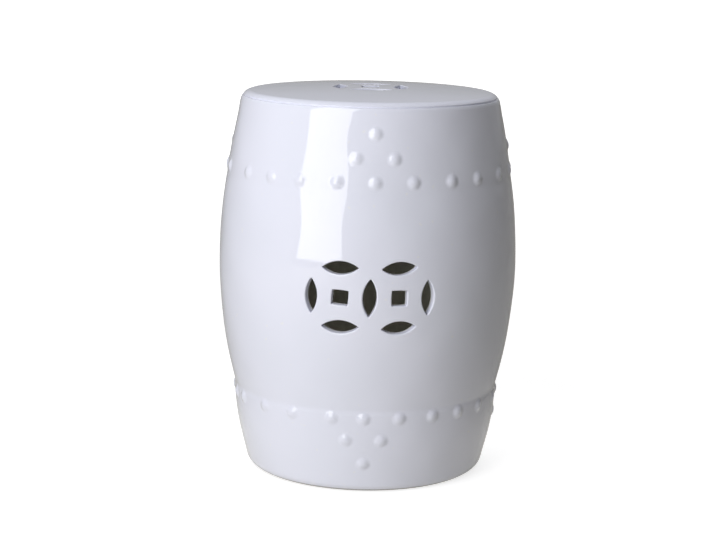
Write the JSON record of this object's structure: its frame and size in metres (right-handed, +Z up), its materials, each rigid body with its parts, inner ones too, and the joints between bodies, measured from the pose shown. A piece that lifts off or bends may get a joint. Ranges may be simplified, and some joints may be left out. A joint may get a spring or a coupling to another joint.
{
  "type": "ceramic garden stool",
  "caption": "Drum-shaped hollow ceramic garden stool with a crowned seat, coin-shaped piercings and rows of round raised bosses.",
  "frame": {"origin": "centre of the standing face, at the floor", "axes": "+Z up along the barrel's axis, front with the double coin faces -Y, +X to the right"},
  "size_m": [0.3588, 0.3588, 0.4595],
  "materials": {
    "white_glaze": "glossy clear glaze over white clay",
    "bare_clay": "unglazed, dry and slightly rough"
  },
  "bodies": {
    "root": {"barrel_wall": "white_glaze", "seat_slab": "white_glaze", "foot_ring": "bare_clay", "upper_boss_01": "white_glaze", "upper_boss_02": "white_glaze", "upper_boss_03": "white_glaze", "upper_boss_04": "white_glaze", "upper_boss_05": "white_glaze", "upper_boss_06": "white_glaze", "upper_boss_07": "white_glaze", "upper_boss_08": "white_glaze", "upper_boss_09": "white_glaze", "upper_boss_10": "white_glaze", "upper_boss_11": "white_glaze", "upper_boss_12": "white_glaze", "upper_boss_13": "white_glaze", "upper_boss_14": "white_glaze", "upper_boss_15": "white_glaze", "upper_boss_16": "white_glaze", "upper_boss_17": "white_glaze", "upper_boss_18": "white_glaze", "upper_boss_19": "white_glaze", "upper_boss_20": "white_glaze", "upper_boss_21": "white_glaze", "upper_boss_22": "white_glaze", "upper_boss_23": "white_glaze", "upper_boss_24": "white_glaze", "lower_boss_01": "white_glaze", "lower_boss_02": "white_glaze", "lower_boss_03": "white_glaze", "lower_boss_04": "white_glaze", "lower_boss_05": "white_glaze", "lower_boss_06": "white_glaze", "lower_boss_07": "white_glaze", "lower_boss_08": "white_glaze", "lower_boss_09": "white_glaze", "lower_boss_10": "white_glaze", "lower_boss_11": "white_glaze", "lower_boss_12": "white_glaze", "lower_boss_13": "white_glaze", "lower_boss_14": "white_glaze", "lower_boss_15": "white_glaze", "lower_boss_16": "white_glaze", "lower_boss_17": "white_glaze", "lower_boss_18": "white_glaze", "lower_boss_19": "white_glaze", "lower_boss_20": "white_glaze", "lower_boss_21": "white_glaze", "lower_boss_22": "white_glaze", "lower_boss_23": "white_glaze", "lower_boss_24": "white_glaze", "upper_cluster_front": "white_glaze", "upper_cluster_right": "white_glaze", "upper_cluster_back": "white_glaze", "upper_cluster_left": "white_glaze", "lower_cluster_front": "white_glaze", "lower_cluster_right": "white_glaze", "lower_cluster_back": "white_glaze", "lower_cluster_left": "white_glaze"}
  },
  "joints": []
}
